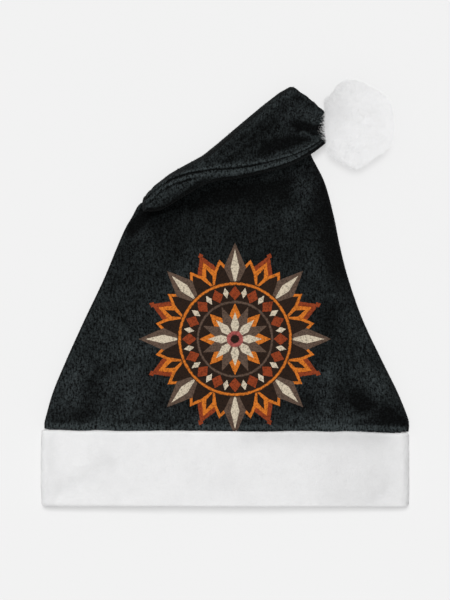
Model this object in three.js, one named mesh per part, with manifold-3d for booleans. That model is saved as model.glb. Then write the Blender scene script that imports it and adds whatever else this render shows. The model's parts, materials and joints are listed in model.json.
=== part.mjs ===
// A plain Santa hat lying flat on a table, its tip folded over to the right: a fleece crown, a plush cuff round
// the head opening and a plush pompom at the tip.
// Millimetres. +X is to the right seen from above, +Y runs from the cuff towards the tip, +Z is up from the table.
import * as THREE from "three";
import Module from "manifold-3d";

const wasm = await Module();
wasm.setup();

// Driving sizes
const CUFF_WIDTH = 294.4; // the cuff laid flat, from side to side
const CUFF_HEIGHT = 61.8; // from its lower rim to the seam with the crown
const CUFF_WALL = 4.5; // two layers of plush
const CUFF_SIDE_THICKNESS = 15; // top of the table to top of the cuff at its two sides
const CUFF_ARCH = 7; // how much higher it stands at its middle, where the mouth is open
const CUFF_SWELL = 1.6; // how far each side of the cuff swells between its rim and the seam
const CROWN_WIDTH = 291.5; // the crown at its widest, just above the seam
const CROWN_HEIGHT = 274.8; // from the seam to the top of the fold
const FLEECE = 2; // one layer of fleece
const CROWN_AIR = 9; // free height between the two layers of the crown at its fullest
const HEM = 7; // how far the crown reaches down inside the cuff
const FOLD_CLEARANCE = 2; // between the crown and the tip that is folded over it
const SEAM_RIB_HEIGHT = 0.9; // the side seam, where it isn't pressed against the table
const SEAM_RIB_WIDTH = 3.2;
const SEAM_FROM_EDGE = 8; // from the crown's left edge to the seam, on the back layer
const POMPOM_WIDTH = 60.5;
const POMPOM_LENGTH = 75;
const POMPOM_HEIGHT = 50;
const TIP_DEPTH = 15.5; // how far the tip reaches into the pompom
const POMPOM_ABOVE_TIP = 1.8; // from the tip's end to the pompom's middle, along Y
const HOLLOW_LEAST = 16; // the crown is hollow where it is wider than this
const TUFT_COUNT = 38;
const TUFT_RADIUS = 9.4; // at its root
const TUFT_ROOT = 0.5; // where it starts, as a share of the pompom's radius
const CORE_SHARE = 0.8; // the core's radius, likewise
const DENT_FADE = 14; // dents fade out over this length beside the seam and the hem
const GAP = 0.3; // between pieces that touch
const SEAM_Y = -109.8; // the seam of crown and cuff, with the middle of the hat's length at 0

// How finely the curved walls are divided
const FLAT_STEPS = 13;
const ROLL_STEPS = 4;
const RIM_STEPS = 4;
const FACE_STEPS = 5;
const TIP_RINGS = 2;
const CUTTER_ROWS = 10; // how many of the crown's last rows cut its place out of the pompom

// Sections of the crown from the seam to the tip, as if a ruler were laid from its left edge to its right edge.
// leftX and rightX are shares of CROWN_WIDTH from the middle, leftY and rightY shares of CROWN_HEIGHT from the seam.
// turn is how far the cloth has rolled over the fold, in degrees: 0 is front layer up and 180 is back layer up.
// leftAir and rightAir are the free height inside the two edges, front and back the swell of each layer between
// them, and rise the height off whatever is below, as shares of CROWN_AIR. steps is the number of rows of faces
// that lead to the next section.
const SECTIONS = [
  { leftX: -0.493, leftY: 0.005, rightX: 0.498, rightY: 0.005, turn: 0, leftAir: 0.35, rightAir: 0.35, front: 0.95, back: 0, rise: 0.2, steps: 1 },
  { leftX: -0.497, leftY: 0.02, rightX: 0.503, rightY: 0.018, turn: 0, leftAir: 0.4, rightAir: 0.4, front: 1.05, back: 0, rise: 0, steps: 1 },
  { leftX: -0.491, leftY: 0.045, rightX: 0.497, rightY: 0.045, turn: 0, leftAir: 0.5, rightAir: 0.5, front: 1.05, back: 0, rise: 0, steps: 2 },
  { leftX: -0.472, leftY: 0.115, rightX: 0.469, rightY: 0.115, turn: 0, leftAir: 0.5, rightAir: 0.5, front: 1, back: 0, rise: 0, steps: 2 },
  { leftX: -0.434, leftY: 0.208, rightX: 0.425, rightY: 0.208, turn: 0, leftAir: 0.5, rightAir: 0.5, front: 0.9, back: 0, rise: 0, steps: 3 },
  { leftX: -0.384, leftY: 0.325, rightX: 0.373, rightY: 0.325, turn: 0, leftAir: 0.5, rightAir: 0.5, front: 0.8, back: 0, rise: 0, steps: 3 },
  { leftX: -0.332, leftY: 0.441, rightX: 0.3345, rightY: 0.441, turn: 0, leftAir: 0.45, rightAir: 0.45, front: 0.65, back: 0, rise: 0, steps: 2 },
  { leftX: -0.299, leftY: 0.537, rightX: 0.311, rightY: 0.537, turn: 0, leftAir: 0.45, rightAir: 0.45, front: 0.45, back: 0, rise: 0, steps: 2 },
  { leftX: -0.2745, leftY: 0.59, rightX: 0.2935, rightY: 0.63, turn: 0, leftAir: 0.45, rightAir: 0.45, front: 0.25, back: 0, rise: 0, steps: 2 },
  { leftX: -0.2545, leftY: 0.627, rightX: 0.269, rightY: 0.726, turn: 0, leftAir: 0.45, rightAir: 0.45, front: 0.15, back: 0, rise: 0, steps: 2 },
  { leftX: -0.241, leftY: 0.654, rightX: 0.233, rightY: 0.808, turn: 0, leftAir: 0.45, rightAir: 0.45, front: 0.15, back: 0, rise: 0, steps: 2 },
  { leftX: -0.229, leftY: 0.666, rightX: 0.216, rightY: 0.89, turn: 0, leftAir: 0.45, rightAir: 0.45, front: 0.15, back: 0, rise: 0, steps: 2 },
  { leftX: -0.2155, leftY: 0.669, rightX: 0.1965, rightY: 0.981, turn: 0, leftAir: 0.45, rightAir: 0.45, front: 0.1, back: 0, rise: 0, steps: 8 },
  { leftX: -0.2165, leftY: 0.656, rightX: 0.207, rightY: 0.986, turn: 180, leftAir: 0.7, rightAir: 0.4, front: 0, back: 0.15, rise: 0, steps: 2 },
  { leftX: -0.175, leftY: 0.661, rightX: 0.218, rightY: 0.979, turn: 180, leftAir: 0.75, rightAir: 0.4, front: 0, back: 0.2, rise: 0, steps: 2 },
  { leftX: -0.124, leftY: 0.688, rightX: 0.225, rightY: 0.974, turn: 180, leftAir: 0.7, rightAir: 0.4, front: 0, back: 0.2, rise: 0, steps: 2 },
  { leftX: -0.047, leftY: 0.732, rightX: 0.231, rightY: 0.968, turn: 180, leftAir: 0.6, rightAir: 0.4, front: 0, back: 0.2, rise: 0, steps: 2 },
  { leftX: 0.033, leftY: 0.744, rightX: 0.238, rightY: 0.962, turn: 180, leftAir: 0.55, rightAir: 0.4, front: 0, back: 0.2, rise: 0, steps: 2 },
  { leftX: 0.112, leftY: 0.763, rightX: 0.246, rightY: 0.956, turn: 180, leftAir: 0.55, rightAir: 0.4, front: 0, back: 0.2, rise: 0, steps: 2 },
  { leftX: 0.181, leftY: 0.784, rightX: 0.255, rightY: 0.945, turn: 180, leftAir: 0.55, rightAir: 0.4, front: 0, back: 0.2, rise: 0.1, steps: 2 },
  { leftX: 0.239, leftY: 0.81, rightX: 0.266, rightY: 0.936, turn: 180, leftAir: 0.5, rightAir: 0.4, front: 0, back: 0.2, rise: 0.3, steps: 2 },
  { leftX: 0.28, leftY: 0.841, rightX: 0.277, rightY: 0.924, turn: 180, leftAir: 0.4, rightAir: 0.35, front: 0, back: 0.15, rise: 0.5, steps: 2 },
  { leftX: 0.3, leftY: 0.86, rightX: 0.297, rightY: 0.91, turn: 180, leftAir: 0.2, rightAir: 0.2, front: 0, back: 0, rise: 0.7, steps: 1 },
  { leftX: 0.3125, leftY: 0.872, rightX: 0.311, rightY: 0.898, turn: 180, leftAir: 0.1, rightAir: 0.1, front: 0, back: 0, rise: 0.8, steps: 0 },
];
// How far the roll stands out of the fold's line, from its left end to its right, as a share of a full round roll.
const FOLD_REACH = [
  { across: 0, reach: 0.42 },
  { across: 0.1, reach: 0.8 },
  { across: 0.2, reach: 0.85 },
  { across: 0.4, reach: 0.52 },
  { across: 0.6, reach: 0.72 },
  { across: 0.8, reach: 0.97 },
  { across: 0.92, reach: 1.02 },
  { across: 1, reach: 0.92 },
];

// The front layer is pressed in along these lines. Places as in the sections, width and depth in millimetres.
const DENTS = [
  { fromX: -0.24, fromY: 0.625, toX: -0.05, toY: 0.69, width: 9, depth: 2.4 },
  { fromX: -0.05, fromY: 0.69, toX: 0.2, toY: 0.77, width: 8, depth: 1.6 },
  { fromX: -0.42, fromY: 0.235, toX: -0.27, toY: 0.255, width: 7, depth: 1.2 },
  { fromX: 0.35, fromY: 0.335, toX: 0.44, toY: 0.31, width: 6, depth: 1.2 },
  { fromX: 0.41, fromY: 0.02, toX: 0.435, toY: 0.13, width: 7, depth: 1.2 },
  { fromX: -0.41, fromY: 0.02, toX: -0.385, toY: 0.1, width: 8, depth: 0.9 },
  { fromX: -0.12, fromY: 0.02, toX: -0.11, toY: 0.08, width: 9, depth: 0.8 },
  { fromX: 0.13, fromY: 0.02, toX: 0.12, toY: 0.09, width: 9, depth: 0.8 },
];

// The same for the front of the cuff, X as a share of CUFF_WIDTH from the middle, Y of CUFF_HEIGHT from the rim.
const CUFF_DENTS = [
  { fromX: -0.473, fromY: 0.19, toX: -0.3, toY: 0.6, width: 8, depth: 1.3 },
  { fromX: 0.415, fromY: 0.15, toX: 0.475, toY: 0.32, width: 7, depth: 1.1 },
  { fromX: -0.05, fromY: 0.75, toX: 0.03, toY: 0.95, width: 12, depth: 0.7 },
  { fromX: 0.2, fromY: 0.5, toX: 0.28, toY: 0.95, width: 12, depth: 0.6 },
];

// Outline of one tuft of the pompom from its root to its end. radius is a share of TUFT_RADIUS, along of its length.
const TUFT_OUTLINE = [
  { radius: 0, along: 0 },
  { radius: 1, along: 0 },
  { radius: 0.95, along: 0.62 },
  { radius: 0.6, along: 0.9 },
  { radius: 0, along: 1 },
];
const TUFT_SIDES = 6;

// Lobes of the pompom's outline: direction in degrees from +X, how far it stands out as a share of the radius,
// and how many degrees it spreads over.
const POMPOM_LOBES = [
  { direction: 105, reach: 0.04, spread: 14 },
  { direction: 147, reach: 0.09, spread: 11 },
  { direction: 68, reach: -0.08, spread: 12 },
  { direction: 18, reach: -0.05, spread: 14 },
  { direction: 268, reach: 0.02, spread: 10 },
  { direction: 216, reach: -0.05, spread: 16 },
];

// How deep the lines of a table press at a place, in millimetres.
function pressedAt(dents, x, y, width, height, originY) {
  let deepest = 0;
  for (const dent of dents) {
    const from = new THREE.Vector3(dent.fromX * width, originY + dent.fromY * height, 0);
    const to = new THREE.Vector3(dent.toX * width, originY + dent.toY * height, 0);
    const place = new THREE.Vector3(x, y, 0);
    const nearest = new THREE.Line3(from, to).closestPointToPoint(place, true, new THREE.Vector3());
    const far = nearest.distanceTo(place) / dent.width;
    deepest = Math.max(deepest, dent.depth * Math.exp(-far * far));
  }
  return deepest;
}

// A flat ring seen from its end: two layers joined by a round roll at each side. across is the distance from the
// left edge and height the distance from the lower layer's face. inset moves the ring inwards. The points run
// along the lower layer, up the right roll, back along the upper layer and down the left roll. swellBelow and
// swellAbove say how far a layer bows out, given the share of the way across. rib raises the lower layer's seam.
function flatRing({ width, leftThick, rightThick, inset, swellBelow, swellAbove, rib }) {
  const leftRoll = leftThick / 2;
  const rightRoll = rightThick / 2;
  const run = width - leftRoll - rightRoll;
  const seamAt = Math.min((SEAM_FROM_EDGE - leftRoll) / run, 0.4);
  const seamHalf = Math.min(SEAM_RIB_WIDTH / 2 / run, seamAt * 0.4);
  const belowShares = [0, seamAt - seamHalf, seamAt, seamAt + seamHalf];
  const left = FLAT_STEPS - belowShares.length + 1;
  for (let i = 1; i <= left; i += 1) {
    const from = seamAt + seamHalf;
    belowShares.push(from + ((1 - from) * i) / left);
  }
  const points = [];
  for (const [i, share] of belowShares.entries()) {
    const onRib = i === 2 ? rib : 0;
    points.push({ across: leftRoll + run * share, height: inset - swellBelow(share) - onRib });
  }
  for (let i = 1; i < ROLL_STEPS; i += 1) {
    const angle = (Math.PI * i) / ROLL_STEPS;
    points.push({
      across: width - rightRoll + (rightRoll - inset) * Math.sin(angle),
      height: rightRoll - (rightRoll - inset) * Math.cos(angle),
    });
  }
  for (let i = 0; i <= FLAT_STEPS; i += 1) {
    const share = 1 - i / FLAT_STEPS;
    const thick = THREE.MathUtils.lerp(leftThick, rightThick, share);
    points.push({ across: leftRoll + run * share, height: thick - inset + swellAbove(share) });
  }
  for (let i = 1; i < ROLL_STEPS; i += 1) {
    const angle = (Math.PI * i) / ROLL_STEPS;
    points.push({
      across: leftRoll - (leftRoll - inset) * Math.sin(angle),
      height: leftRoll + (leftRoll - inset) * Math.cos(angle),
    });
  }
  return points;
}

// A swell that is nothing at both sides and full at the middle.
function arch(share) {
  return Math.sin(Math.PI * share);
}

// A smooth curve through four values, between the middle two.
function between(before, from, to, after, t) {
  const curve = new THREE.CatmullRomCurve3([
    new THREE.Vector3(before, 0, 0),
    new THREE.Vector3(from, 1, 0),
    new THREE.Vector3(to, 2, 0),
    new THREE.Vector3(after, 3, 0),
  ], false, "catmullrom", 0.5);
  return curve.getPoint((1 + t) / 3).x;
}

// The hem's two sections fit inside the cuff with a gap all round.
const hemHalf = CUFF_WIDTH / 2 - CUFF_SWELL - CUFF_WALL - GAP;
const hemAir = CUFF_SIDE_THICKNESS - 2 * (CUFF_WALL + GAP) - 2 * FLEECE;
const hemSection = {
  leftX: -hemHalf / CROWN_WIDTH,
  rightX: hemHalf / CROWN_WIDTH,
  turn: 0,
  leftAir: hemAir / CROWN_AIR,
  rightAir: hemAir / CROWN_AIR,
  front: CUFF_ARCH / CROWN_AIR,
  back: 0,
  rise: (CUFF_WALL + GAP) / CROWN_AIR,
  steps: 1,
};
const hemLow = -HEM / CROWN_HEIGHT;
const hemTop = 0.3 / CROWN_HEIGHT;
const HEM_SECTIONS = [
  { ...hemSection, leftY: hemLow, rightY: hemLow },
  { ...hemSection, leftY: hemTop, rightY: hemTop },
];

// All rows of the crown, with the sections joined by smooth curves.
function crownRows() {
  const sections = [...HEM_SECTIONS, ...SECTIONS];
  const fold = sections.findIndex((section) => section.turn > 0) - 1;
  const rows = [];
  sections.forEach((section, index) => {
    const rolling = index === fold;
    const next = sections[Math.min(index + 1, sections.length - 1)];
    const before = index === fold + 1 || index === 0 ? section : sections[index - 1];
    const after = index + 1 === fold || index + 2 >= sections.length ? next : sections[index + 2];
    for (let step = 0; step < Math.max(section.steps, 1); step += 1) {
      const t = step / Math.max(section.steps, 1);
      const row = {};
      for (const key of Object.keys(section)) {
        row[key] = rolling || key === "turn"
          ? THREE.MathUtils.lerp(section[key], next[key], t)
          : between(before[key], section[key], next[key], after[key], t);
      }
      rows.push(row);
    }
  });
  return rows;
}

function edgePoint(row, side) {
  return new THREE.Vector3(row[side + "X"] * CROWN_WIDTH, SEAM_Y + row[side + "Y"] * CROWN_HEIGHT, 0);
}

// The last section before the cloth rolls over, and the way out over the fold, square to it in plan.
const foldSection = SECTIONS[SECTIONS.findIndex((section) => section.turn > 0) - 1];
const foldLine = edgePoint(foldSection, "right").sub(edgePoint(foldSection, "left")).normalize();
const foldOut = new THREE.Vector3(-foldLine.y, foldLine.x, 0);
const foldThickness = 2 * FLEECE + foldSection.leftAir * CROWN_AIR;
const foldHeight = foldThickness + FOLD_CLEARANCE / 2;

function foldReach(across) {
  const last = FOLD_REACH.length - 1;
  const found = FOLD_REACH.findIndex((row) => row.across >= across);
  const index = Math.max(1, found < 0 ? last : found);
  const from = FOLD_REACH[index - 1];
  const to = FOLD_REACH[index];
  return THREE.MathUtils.mapLinear(across, from.across, to.across, from.reach, to.reach);
}

// The ring of points of one row. The front layer of the folded tip faces down and keeps its height over the
// crown, so there the back layer takes up all changes of thickness.
function crownRing(row, inset) {
  const leftEdge = edgePoint(row, "left");
  const rightEdge = edgePoint(row, "right");
  const width = leftEdge.distanceTo(rightEdge);
  const leftThick = 2 * FLEECE + row.leftAir * CROWN_AIR;
  const rightThick = 2 * FLEECE + row.rightAir * CROWN_AIR;
  const turned = row.turn / 180;
  const ring = flatRing({
    width,
    leftThick,
    rightThick,
    inset,
    swellBelow: (share) => row.back * CROWN_AIR * arch(share),
    swellAbove: (share) => row.front * CROWN_AIR * arch(share),
    rib: SEAM_RIB_HEIGHT * turned,
  });
  return ring.map(({ across, height }, i) => {
    const place = leftEdge.clone().lerp(rightEdge, across / width);
    const thick = THREE.MathUtils.lerp(leftThick, rightThick, across / width);
    const above = i > FLAT_STEPS + ROLL_STEPS - 1 && i < 2 * FLAT_STEPS + ROLL_STEPS;
    const fade = THREE.MathUtils.smoothstep(place.y - SEAM_Y, 0, DENT_FADE);
    const pressed = above && turned === 0
      ? fade * pressedAt(DENTS, place.x, place.y, CROWN_WIDTH, CROWN_HEIGHT, SEAM_Y)
      : 0;
    const level = height - pressed + turned * (foldThickness - thick);
    const angle = THREE.MathUtils.degToRad(row.turn);
    const arm = foldHeight - level;
    if (row.turn > 0) {
      place.addScaledVector(foldOut, arm * foldReach(across / width) * Math.sin(angle));
      place.z = foldHeight - arm * Math.cos(angle);
    } else {
      place.z = level;
    }
    place.z += row.rise * CROWN_AIR;
    return place;
  });
}

// Joins rings of equal count into faces. The rings run anticlockwise seen along the direction of travel.
function joinRings(faces, rings, closed) {
  const count = rings[0].length;
  const last = closed ? rings.length : rings.length - 1;
  for (let r = 0; r < last; r += 1) {
    const here = rings[r];
    const there = rings[(r + 1) % rings.length];
    for (let i = 0; i < count; i += 1) {
      const next = (i + 1) % count;
      faces.push(here[i], there[next], here[next]);
      faces.push(here[i], there[i], there[next]);
    }
  }
}

// Closes a ring with smaller rings round its middle. outward is 1 if the faces look along the direction of
// travel.
function capRing(faces, ring, outward) {
  const middle = new THREE.Vector3();
  ring.forEach((point) => middle.addScaledVector(point, 1 / ring.length));
  let outer = ring;
  for (let k = 1; k < TIP_RINGS; k += 1) {
    const inner = ring.map((point) => point.clone().lerp(middle, k / TIP_RINGS));
    joinRings(faces, outward > 0 ? [outer, inner] : [inner, outer], false);
    outer = inner;
  }
  outer.forEach((point, i) => {
    const next = outer[(i + 1) % outer.length];
    faces.push(...(outward > 0 ? [next, point, middle] : [point, next, middle]));
  });
}

function geometryOf(faces) {
  return new THREE.BufferGeometry().setFromPoints(faces);
}

// The crown: an outer skin closed at the tip, an inner skin closed a little before it, and the hem that joins
// them round the mouth.
function crownGeometry() {
  const rows = crownRows();
  const outer = rows.map((row) => crownRing(row, 0));
  const hollowRows = rows.filter((row) => (
    edgePoint(row, "left").distanceTo(edgePoint(row, "right")) > HOLLOW_LEAST
  ));
  const inner = hollowRows.map((row) => crownRing(row, FLEECE));
  const faces = [];
  joinRings(faces, outer, false);
  capRing(faces, outer[outer.length - 1], 1);
  joinRings(faces, [...inner].reverse(), false);
  capRing(faces, inner[inner.length - 1], -1);
  joinRings(faces, [inner[0], outer[0]], false);
  return geometryOf(faces);
}

// The tip grown by the gap, to be cut out of the pompom.
function tipCutter() {
  const rows = crownRows().slice(-CUTTER_ROWS);
  const rings = rows.map((row) => crownRing(row, -GAP));
  const last = rings[rings.length - 1];
  const before = rings[rings.length - 2];
  const onward = last.map((point, i) => {
    const way = point.clone().sub(before[i]).normalize();
    return point.clone().addScaledVector(way, 2 * GAP);
  });
  rings.push(onward);
  const faces = [];
  joinRings(faces, rings, false);
  capRing(faces, onward, 1);
  capRing(faces, rings[0], -1);
  return geometryOf(faces);
}

// The cuff: the profile of its wall, with a round rim at each end, carried round the flat ring.
function cuffGeometry() {
  const rim = CUFF_WALL / 2;
  const low = SEAM_Y - CUFF_HEIGHT;
  const profile = [];
  for (let i = 0; i < FACE_STEPS; i += 1) {
    const y = THREE.MathUtils.lerp(low + rim, SEAM_Y - rim, i / FACE_STEPS);
    profile.push({ y, inset: 0 });
  }
  for (let i = 0; i < RIM_STEPS; i += 1) {
    const angle = (Math.PI * i) / RIM_STEPS;
    profile.push({ y: SEAM_Y - rim + rim * Math.sin(angle), inset: rim - rim * Math.cos(angle) });
  }
  for (let i = 0; i < FACE_STEPS; i += 1) {
    const y = THREE.MathUtils.lerp(SEAM_Y - rim, low + rim, i / FACE_STEPS);
    profile.push({ y, inset: CUFF_WALL });
  }
  for (let i = 0; i < RIM_STEPS; i += 1) {
    const angle = (Math.PI * i) / RIM_STEPS;
    profile.push({ y: low + rim - rim * Math.sin(angle), inset: rim + rim * Math.cos(angle) });
  }
  const rings = profile.map(({ y, inset }) => {
    const along = (y - low) / CUFF_HEIGHT;
    const half = CUFF_WIDTH / 2 - CUFF_SWELL * (1 - Math.sin(Math.PI * along));
    const ring = flatRing({
      width: 2 * half,
      leftThick: CUFF_SIDE_THICKNESS,
      rightThick: CUFF_SIDE_THICKNESS,
      inset,
      swellBelow: () => 0,
      swellAbove: (share) => CUFF_ARCH * arch(share),
      rib: 0,
    });
    return ring.map(({ across, height }, i) => {
      const x = across - half;
      const above = i > FLAT_STEPS + ROLL_STEPS - 1 && i < 2 * FLAT_STEPS + ROLL_STEPS;
      const fade = THREE.MathUtils.smoothstep(SEAM_Y - HEM - y, 0, DENT_FADE);
      const pressed = above ? fade * pressedAt(CUFF_DENTS, x, y, CUFF_WIDTH, CUFF_HEIGHT, low) : 0;
      return new THREE.Vector3(x, y, height - pressed);
    });
  });
  const faces = [];
  joinRings(faces, rings, true);
  return geometryOf(faces);
}

// The pompom sits on the end of the tip.
const tipSection = SECTIONS[SECTIONS.length - 1];
const tipEnd = edgePoint(tipSection, "left").lerp(edgePoint(tipSection, "right"), 0.5);
const pompomMiddle = new THREE.Vector3(
  tipEnd.x + POMPOM_WIDTH / 2 - TIP_DEPTH,
  tipEnd.y + POMPOM_ABOVE_TIP,
  POMPOM_HEIGHT / 2,
);

// The pompom's radius in plan in one direction.
function pompomReach(degrees) {
  const angle = THREE.MathUtils.degToRad(degrees);
  const halfWidth = POMPOM_WIDTH / 2;
  const halfLength = POMPOM_LENGTH / 2;
  const plain = (halfWidth * halfLength) / Math.hypot(halfLength * Math.cos(angle), halfWidth * Math.sin(angle));
  let share = 1;
  for (const lobe of POMPOM_LOBES) {
    const away = THREE.MathUtils.euclideanModulo(degrees - lobe.direction + 180, 360) - 180;
    share += lobe.reach * Math.exp(-((away / lobe.spread) ** 2));
  }
  return plain * share;
}

// A place on the pompom, from a direction as a unit vector and a share of the full radius.
function pompomPlace(way, share) {
  const degrees = THREE.MathUtils.radToDeg(Math.atan2(way.y, way.x));
  const reach = pompomReach(degrees);
  return new THREE.Vector3(
    share * reach * way.x,
    share * reach * way.y,
    (share * POMPOM_HEIGHT * way.z) / 2,
  ).add(pompomMiddle);
}

// The pompom: tufts spread evenly over a core, fused, cut flat where they meet the table and cut round the tip.
function pompomGeometry() {
  const core = new THREE.IcosahedronGeometry(1, 3);
  const places = core.getAttribute("position");
  for (let i = 0; i < places.count; i += 1) {
    const way = new THREE.Vector3().fromBufferAttribute(places, i).normalize();
    places.setXYZ(i, ...pompomPlace(way, CORE_SHARE).toArray());
  }
  const bodies = [solidOf(core)];
  const turnStep = Math.PI * (3 - Math.sqrt(5));
  for (let i = 0; i < TUFT_COUNT; i += 1) {
    const z = 1 - (2 * (i + 0.5)) / TUFT_COUNT;
    const flat = Math.sqrt(1 - z * z);
    const way = new THREE.Vector3(flat * Math.cos(i * turnStep), flat * Math.sin(i * turnStep), z);
    const root = pompomPlace(way, TUFT_ROOT);
    const end = pompomPlace(way, 0.97 + 0.06 * (((i * 7) % 10) / 10));
    const outline = TUFT_OUTLINE.map(({ radius, along }) => (
      new THREE.Vector2(radius * TUFT_RADIUS, along * root.distanceTo(end))
    ));
    const tuft = new THREE.LatheGeometry(outline, TUFT_SIDES);
    const lean = new THREE.Quaternion().setFromUnitVectors(
      new THREE.Vector3(0, 1, 0),
      end.clone().sub(root).normalize(),
    );
    tuft.applyQuaternion(lean);
    tuft.translate(...root.toArray());
    bodies.push(solidOf(tuft));
  }
  const fused = wasm.Manifold.union(bodies);
  const flat = fused.trimByPlane([0, 0, 1], 0);
  return geometryFrom(flat.subtract(solidOf(tipCutter())));
}

// To and from the solids that manifold-3d joins and cuts.
function solidOf(geometry) {
  const corners = geometry.index ? geometry.toNonIndexed() : geometry;
  const places = corners.getAttribute("position");
  const known = new Map();
  const vertices = [];
  const triangles = [];
  for (let i = 0; i < places.count; i += 1) {
    const place = [places.getX(i), places.getY(i), places.getZ(i)];
    const key = place.map((value) => Math.round(value * 1000)).join(" ");
    if (!known.has(key)) {
      known.set(key, known.size);
      vertices.push(...place);
    }
    triangles.push(known.get(key));
  }
  return new wasm.Manifold(new wasm.Mesh({
    numProp: 3,
    vertProperties: new Float32Array(vertices),
    triVerts: new Uint32Array(dropFlat(triangles)),
  }));
}

// Leaves out triangles that two equal corners have closed up.
function dropFlat(triangles) {
  const kept = [];
  for (let i = 0; i < triangles.length; i += 3) {
    const [a, b, c] = triangles.slice(i, i + 3);
    if (a !== b && b !== c && c !== a) kept.push(a, b, c);
  }
  return kept;
}

function geometryFrom(solid) {
  const mesh = solid.getMesh();
  return new THREE.BufferGeometry()
    .setAttribute("position", new THREE.BufferAttribute(mesh.vertProperties, 3))
    .setIndex(new THREE.BufferAttribute(mesh.triVerts, 1));
}

// One named mesh for each piece
function addPiece(group, name, geometry, color) {
  geometry.computeVertexNormals();
  const mesh = new THREE.Mesh(geometry, new THREE.MeshStandardMaterial({ color, roughness: 0.95 }));
  mesh.name = name;
  group.add(mesh);
}

const hat = new THREE.Group();
addPiece(hat, "crown", crownGeometry(), 0x16181a);
addPiece(hat, "cuff", cuffGeometry(), 0xe9e9ea);
addPiece(hat, "pompom", pompomGeometry(), 0xececec);

export default hat;
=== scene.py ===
# %% [markdown]
# A Santa hat, lying flat with its tip folded over
#
# This lesson dresses a plain solid model of a Santa hat: a black fleece crown, a white plush cuff round the
# head opening and a white pompom. The solids come in as a fixed frame that says where each piece is and how
# big it is. Each piece is then worked out again as a much finer surface with numpy, and gets a material
# made of nodes.

# %% Load the frame
import json

import bpy
import numpy as np
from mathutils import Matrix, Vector

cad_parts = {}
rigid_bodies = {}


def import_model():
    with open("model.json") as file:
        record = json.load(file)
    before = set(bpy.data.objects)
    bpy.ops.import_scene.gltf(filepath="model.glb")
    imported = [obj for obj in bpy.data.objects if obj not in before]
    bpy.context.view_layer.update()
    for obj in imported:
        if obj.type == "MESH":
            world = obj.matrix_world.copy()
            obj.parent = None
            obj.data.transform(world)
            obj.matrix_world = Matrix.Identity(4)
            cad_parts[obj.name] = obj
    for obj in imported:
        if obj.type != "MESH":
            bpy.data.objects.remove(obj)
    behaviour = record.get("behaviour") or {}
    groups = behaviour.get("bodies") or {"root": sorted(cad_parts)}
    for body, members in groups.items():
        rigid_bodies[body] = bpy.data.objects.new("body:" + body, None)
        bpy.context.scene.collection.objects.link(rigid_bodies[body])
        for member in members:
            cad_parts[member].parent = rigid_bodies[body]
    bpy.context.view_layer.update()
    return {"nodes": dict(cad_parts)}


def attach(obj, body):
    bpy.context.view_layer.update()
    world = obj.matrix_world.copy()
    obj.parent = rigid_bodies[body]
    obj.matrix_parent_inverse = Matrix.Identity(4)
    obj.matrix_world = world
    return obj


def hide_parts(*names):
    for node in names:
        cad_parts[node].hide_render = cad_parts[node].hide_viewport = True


for thing in list(bpy.data.objects):
    bpy.data.objects.remove(thing)
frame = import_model()
print("nodes:", sorted(frame["nodes"]))

# %% [markdown]
# The sizes
#
# All lengths are in metres, as Blender's are. X runs to the right seen from above, Y from the cuff towards
# the tip and Z up from the table. The sizes are those of the solids, so that each soft surface lies where
# its solid is.

# %% Sizes of the hat
MM = 0.001
CUFF_WIDTH = 294.4 * MM
CUFF_HEIGHT = 61.8 * MM
CUFF_WALL = 4.5 * MM
CUFF_SIDE = 15 * MM
CUFF_ARCH = 7 * MM
CUFF_SWELL = 1.6 * MM
CROWN_WIDTH = 291.5 * MM
CROWN_HEIGHT = 274.8 * MM
FLEECE = 2 * MM
AIR = 9 * MM
HEM = 7 * MM
GAP = 0.3 * MM
SEAM_Y = -109.8 * MM
FOLD_CLEARANCE = 2 * MM
print("cuff, laid flat: %.0f by %.0f mm" % (CUFF_WIDTH / MM, CUFF_HEIGHT / MM))

# %% [markdown]
# Helpers for surfaces
#
# Every soft piece here is a closed grid: rings of points, one after another, with the same count of points
# in each ring. A grid can be made with modifiers too, but as arrays its shape is a formula that can be read
# and changed. Cloth is never quite even, so there is also a field of soft waves to bend it with.

# %% Grids, meshes and soft waves
def ring_faces(rings, count, start=0, closed=False):
    """Quads between neighbouring rings: point j of ring i joins point j + 1 and the same two of ring i +
    1."""
    i = np.arange(rings if closed else rings - 1)[:, None]
    j = np.arange(count)[None, :]
    here = i * count
    there = ((i + 1) % rings) * count
    quads = np.stack([here + j, there + j, there + (j + 1) % count, here + (j + 1) % count], axis=-1)
    return quads.reshape(-1, 4) + start


def put(name, data):
    """An object in the scene, at the origin."""
    thing = bpy.data.objects.new(name, data)
    bpy.context.collection.objects.link(thing)
    return thing


def make_mesh(name, points, faces):
    """A smooth mesh object at the origin from an array of points and a list of face index lists."""
    mesh = bpy.data.meshes.new(name)
    mesh.from_pydata(np.asarray(points).reshape(-1, 3).tolist(), [], faces)
    mesh.polygons.foreach_set("use_smooth", np.full(len(mesh.polygons), True))
    mesh.validate()
    print(name, len(mesh.polygons), "faces")
    return put(name, mesh)


def soft_waves(x, y, wavelength, seed, count=28):
    """A smooth random field near -1 to 1: the mean of plane waves in all directions, each with its own
    phase."""
    chance = np.random.default_rng(seed)
    way = chance.uniform(0, 2 * np.pi, count)
    number = 2 * np.pi / (wavelength * chance.uniform(0.7, 1.5, count))
    phase = chance.uniform(0, 2 * np.pi, count)
    x = np.asarray(x)[..., None]
    y = np.asarray(y)[..., None]
    waves = np.cos(number * (np.cos(way) * x + np.sin(way) * y) + phase)
    return waves.sum(axis=-1) / np.sqrt(count) * 0.8


def unit(vectors):
    """The vectors at length one: each divided by the root of the sum of its squares."""
    return vectors / np.maximum(np.linalg.norm(vectors, axis=-1, keepdims=True), 1e-12)


def hump(value, middle, width):
    """1 at the middle, falling off on both sides: e to the minus square of the distance over the width."""
    return np.exp(-(((value - middle) / width) ** 2))


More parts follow.
